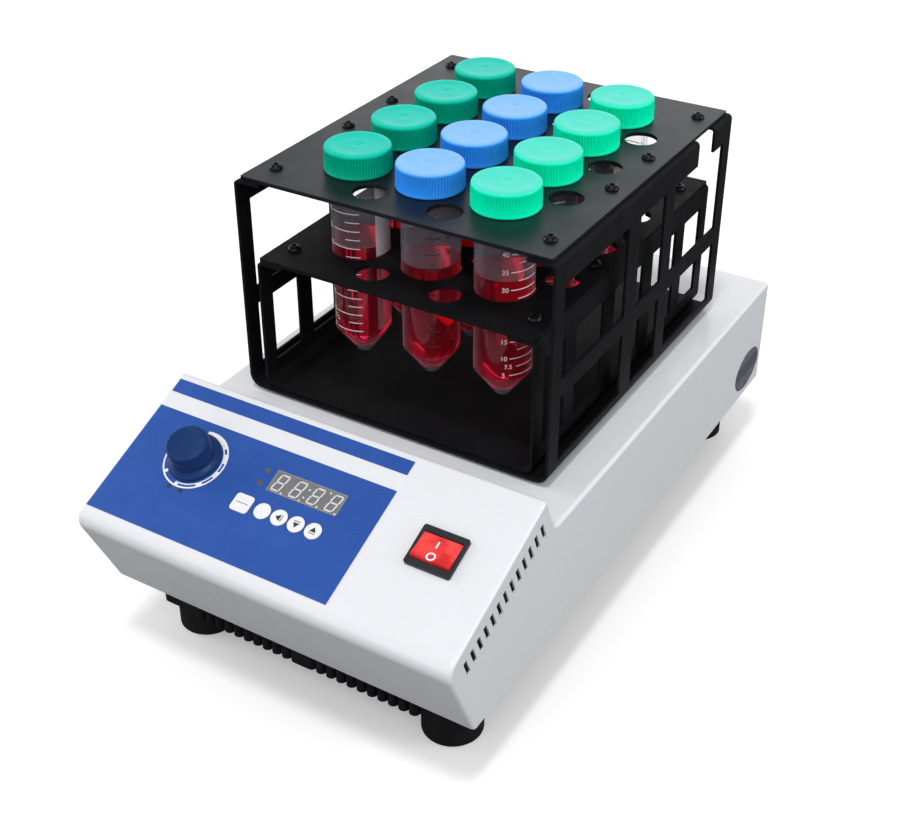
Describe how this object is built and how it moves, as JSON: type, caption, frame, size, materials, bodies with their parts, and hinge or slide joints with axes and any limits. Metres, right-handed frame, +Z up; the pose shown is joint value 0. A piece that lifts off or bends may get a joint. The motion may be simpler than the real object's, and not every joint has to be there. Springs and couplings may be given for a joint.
{
  "type": "conical tube mixer",
  "caption": "Bench mixer with a sloping control panel and a low deck; an orbiting sheet-metal rack above it holds capped conical tubes in liquid.",
  "frame": {"origin": "on the bench, at the middle of the base's outline", "axes": "+Z up, +X to the right of someone facing the control panel, +Y from the control panel to the back"},
  "size_m": [0.212, 0.3728, 0.2413],
  "materials": {
    "cover_white": "fine satin",
    "pan_black": "black powder coat",
    "rubber_black": "matt",
    "overlay_blue": "satin print film",
    "display_grey": "smoked window",
    "led_amber": "unlit lens",
    "key_white": "satin",
    "knob_navy": "satin",
    "pot_steel": "plain",
    "bezel_black": "satin",
    "rocker_red": "translucent red",
    "board_green": "circuit board",
    "inlet_black": "satin",
    "chassis_steel": "zinc plated",
    "bearing_alu": "machined",
    "motor_black": "satin",
    "belt_rubber": "matt",
    "shaft_steel": "ground",
    "pulley_alu": "turned",
    "rack_black": "black powder coat",
    "screw_black": "black oxide",
    "tube_clear": "clear polypropylene",
    "cap_dark_green": "moulded, ribbed",
    "cap_blue": "moulded, ribbed",
    "cap_light_green": "moulded, ribbed"
  },
  "bodies": {
    "base": {"housing_cover": "cover_white", "bottom_pan": "pan_black", "feet": "rubber_black", "panel_overlay": "overlay_blue", "display_window": "display_grey", "status_leds": "led_amber", "potentiometer": "pot_steel", "switch_bezel": "bezel_black", "control_board": "board_green", "power_inlet": "inlet_black", "power_supply": "board_green", "chassis": "chassis_steel", "bearing_units": "bearing_alu", "drive_motor": "motor_black", "drive_belt": "belt_rubber"},
    "crank": {"spindle": "shaft_steel", "spindle_pulley": "pulley_alu"},
    "rack": {"carrier_plate": "bearing_alu", "carrier_bearings": "shaft_steel", "carrier_posts": "shaft_steel", "outer_frame": "rack_black", "inner_frame": "rack_black", "top_plate": "rack_black", "middle_plate": "rack_black", "rack_screws": "screw_black"},
    "idler_1": {"idler_crank_1": "shaft_steel"},
    "idler_2": {"idler_crank_2": "shaft_steel"},
    "motor_rotor": {"motor_pulley": "pulley_alu"},
    "knob": {"speed_knob": "knob_navy"},
    "rocker": {"power_rocker": "rocker_red"},
    "key_run": {"key_run": "key_white"},
    "key_mode": {"key_mode": "key_white"},
    "key_left": {"key_left": "key_white"},
    "key_down": {"key_down": "key_white"},
    "key_up": {"key_up": "key_white"},
    "tube_a1": {"tube_a1": "tube_clear"},
    "cap_a1": {"cap_a1": "cap_dark_green"},
    "tube_a2": {"tube_a2": "tube_clear"},
    "cap_a2": {"cap_a2": "cap_dark_green"},
    "tube_a3": {"tube_a3": "tube_clear"},
    "cap_a3": {"cap_a3": "cap_dark_green"},
    "tube_a4": {"tube_a4": "tube_clear"},
    "cap_a4": {"cap_a4": "cap_dark_green"},
    "tube_b1": {"tube_b1": "tube_clear"},
    "cap_b1": {"cap_b1": "cap_blue"},
    "tube_b2": {"tube_b2": "tube_clear"},
    "cap_b2": {"cap_b2": "cap_blue"},
    "tube_b3": {"tube_b3": "tube_clear"},
    "cap_b3": {"cap_b3": "cap_blue"},
    "tube_b4": {"tube_b4": "tube_clear"},
    "cap_b4": {"cap_b4": "cap_blue"},
    "tube_c1": {"tube_c1": "tube_clear"},
    "cap_c1": {"cap_c1": "cap_light_green"},
    "tube_c2": {"tube_c2": "tube_clear"},
    "cap_c2": {"cap_c2": "cap_light_green"},
    "tube_c3": {"tube_c3": "tube_clear"},
    "cap_c3": {"cap_c3": "cap_light_green"},
    "tube_c4": {"tube_c4": "tube_clear"},
    "cap_c4": {"cap_c4": "cap_light_green"}
  },
  "joints": [
    {"name": "crank_spin", "type": "hinge", "parent": "base", "child": "crank", "pos_m": [0, 0.0315, 0.07], "axis": [0, 0, 1], "continuous": true},
    {"name": "rack_counter_turn", "type": "hinge", "parent": "crank", "child": "rack", "pos_m": [0, 0.034, 0.092], "axis": [0, 0, 1], "continuous": true},
    {"name": "idler_1_spin", "type": "hinge", "parent": "base", "child": "idler_1", "pos_m": [-0.05, -0.0085, 0.07], "axis": [0, 0, 1], "continuous": true},
    {"name": "idler_2_spin", "type": "hinge", "parent": "base", "child": "idler_2", "pos_m": [0.05, 0.0715, 0.07], "axis": [0, 0, 1], "continuous": true},
    {"name": "motor_spin", "type": "hinge", "parent": "base", "child": "motor_rotor", "pos_m": [0, -0.064, 0.06], "axis": [0, 0, 1], "continuous": true},
    {"name": "speed_knob_turn", "type": "hinge", "parent": "base", "child": "knob", "pos_m": [-0.0666, -0.14292, 0.11606], "axis": [0, -0.3839, 0.9234], "range_deg": [-280, 0]},
    {"name": "power_rocker_tip", "type": "hinge", "parent": "base", "child": "rocker", "pos_m": [0.0724, -0.14137, 0.11129], "axis": [1, 0, 0], "range_deg": [0, 13.7]},
    {"name": "key_run_press", "type": "slide", "parent": "base", "child": "key_run", "axis": [0, 0.3839, -0.9234], "range_m": [0, 0.0005], "stiffness_N_per_m": 800},
    {"name": "key_mode_press", "type": "slide", "parent": "base", "child": "key_mode", "axis": [0, 0.3839, -0.9234], "range_m": [0, 0.0005], "stiffness_N_per_m": 800},
    {"name": "key_left_press", "type": "slide", "parent": "base", "child": "key_left", "axis": [0, 0.3839, -0.9234], "range_m": [0, 0.0005], "stiffness_N_per_m": 800},
    {"name": "key_down_press", "type": "slide", "parent": "base", "child": "key_down", "axis": [0, 0.3839, -0.9234], "range_m": [0, 0.0005], "stiffness_N_per_m": 800},
    {"name": "key_up_press", "type": "slide", "parent": "base", "child": "key_up", "axis": [0, 0.3839, -0.9234], "range_m": [0, 0.0005], "stiffness_N_per_m": 800},
    {"name": "tube_a1_lift", "type": "slide", "parent": "rack", "child": "tube_a1", "axis": [0, 0, 1], "range_m": [0, 0.115]},
    {"name": "tube_a2_lift", "type": "slide", "parent": "rack", "child": "tube_a2", "axis": [0, 0, 1], "range_m": [0, 0.115]},
    {"name": "tube_a3_lift", "type": "slide", "parent": "rack", "child": "tube_a3", "axis": [0, 0, 1], "range_m": [0, 0.115]},
    {"name": "tube_a4_lift", "type": "slide", "parent": "rack", "child": "tube_a4", "axis": [0, 0, 1], "range_m": [0, 0.115]},
    {"name": "tube_b1_lift", "type": "slide", "parent": "rack", "child": "tube_b1", "axis": [0, 0, 1], "range_m": [0, 0.115]},
    {"name": "tube_b2_lift", "type": "slide", "parent": "rack", "child": "tube_b2", "axis": [0, 0, 1], "range_m": [0, 0.115]},
    {"name": "tube_b3_lift", "type": "slide", "parent": "rack", "child": "tube_b3", "axis": [0, 0, 1], "range_m": [0, 0.115]},
    {"name": "tube_b4_lift", "type": "slide", "parent": "rack", "child": "tube_b4", "axis": [0, 0, 1], "range_m": [0, 0.115]},
    {"name": "tube_c1_lift", "type": "slide", "parent": "rack", "child": "tube_c1", "axis": [0, 0, 1], "range_m": [0, 0.115]},
    {"name": "tube_c2_lift", "type": "slide", "parent": "rack", "child": "tube_c2", "axis": [0, 0, 1], "range_m": [0, 0.115]},
    {"name": "tube_c3_lift", "type": "slide", "parent": "rack", "child": "tube_c3", "axis": [0, 0, 1], "range_m": [0, 0.115]},
    {"name": "tube_c4_lift", "type": "slide", "parent": "rack", "child": "tube_c4", "axis": [0, 0, 1], "range_m": [0, 0.115]},
    {"name": "cap_a1_turn", "type": "hinge", "parent": "tube_a1", "child": "cap_a1", "pos_m": [-0.0418, -0.0287, 0.235], "axis": [0, 0, 1], "continuous": true},
    {"name": "cap_a2_turn", "type": "hinge", "parent": "tube_a2", "child": "cap_a2", "pos_m": [-0.0418, 0.0131, 0.235], "axis": [0, 0, 1], "continuous": true},
    {"name": "cap_a3_turn", "type": "hinge", "parent": "tube_a3", "child": "cap_a3", "pos_m": [-0.0418, 0.0549, 0.235], "axis": [0, 0, 1], "continuous": true},
    {"name": "cap_a4_turn", "type": "hinge", "parent": "tube_a4", "child": "cap_a4", "pos_m": [-0.0418, 0.0967, 0.235], "axis": [0, 0, 1], "continuous": true},
    {"name": "cap_b1_turn", "type": "hinge", "parent": "tube_b1", "child": "cap_b1", "pos_m": [0, -0.0287, 0.235], "axis": [0, 0, 1], "continuous": true},
    {"name": "cap_b2_turn", "type": "hinge", "parent": "tube_b2", "child": "cap_b2", "pos_m": [0, 0.0131, 0.235], "axis": [0, 0, 1], "continuous": true},
    {"name": "cap_b3_turn", "type": "hinge", "parent": "tube_b3", "child": "cap_b3", "pos_m": [0, 0.0549, 0.235], "axis": [0, 0, 1], "continuous": true},
    {"name": "cap_b4_turn", "type": "hinge", "parent": "tube_b4", "child": "cap_b4", "pos_m": [0, 0.0967, 0.235], "axis": [0, 0, 1], "continuous": true},
    {"name": "cap_c1_turn", "type": "hinge", "parent": "tube_c1", "child": "cap_c1", "pos_m": [0.0418, -0.0287, 0.235], "axis": [0, 0, 1], "continuous": true},
    {"name": "cap_c2_turn", "type": "hinge", "parent": "tube_c2", "child": "cap_c2", "pos_m": [0.0418, 0.0131, 0.235], "axis": [0, 0, 1], "continuous": true},
    {"name": "cap_c3_turn", "type": "hinge", "parent": "tube_c3", "child": "cap_c3", "pos_m": [0.0418, 0.0549, 0.235], "axis": [0, 0, 1], "continuous": true},
    {"name": "cap_c4_turn", "type": "hinge", "parent": "tube_c4", "child": "cap_c4", "pos_m": [0.0418, 0.0967, 0.235], "axis": [0, 0, 1], "continuous": true}
  ],
  "couplings": [
    {"joint": "rack_counter_turn", "follows": "crank_spin", "ratio": -1},
    {"joint": "idler_1_spin", "follows": "crank_spin", "ratio": 1},
    {"joint": "idler_2_spin", "follows": "crank_spin", "ratio": 1},
    {"joint": "motor_spin", "follows": "crank_spin", "ratio": 3.4}
  ]
}
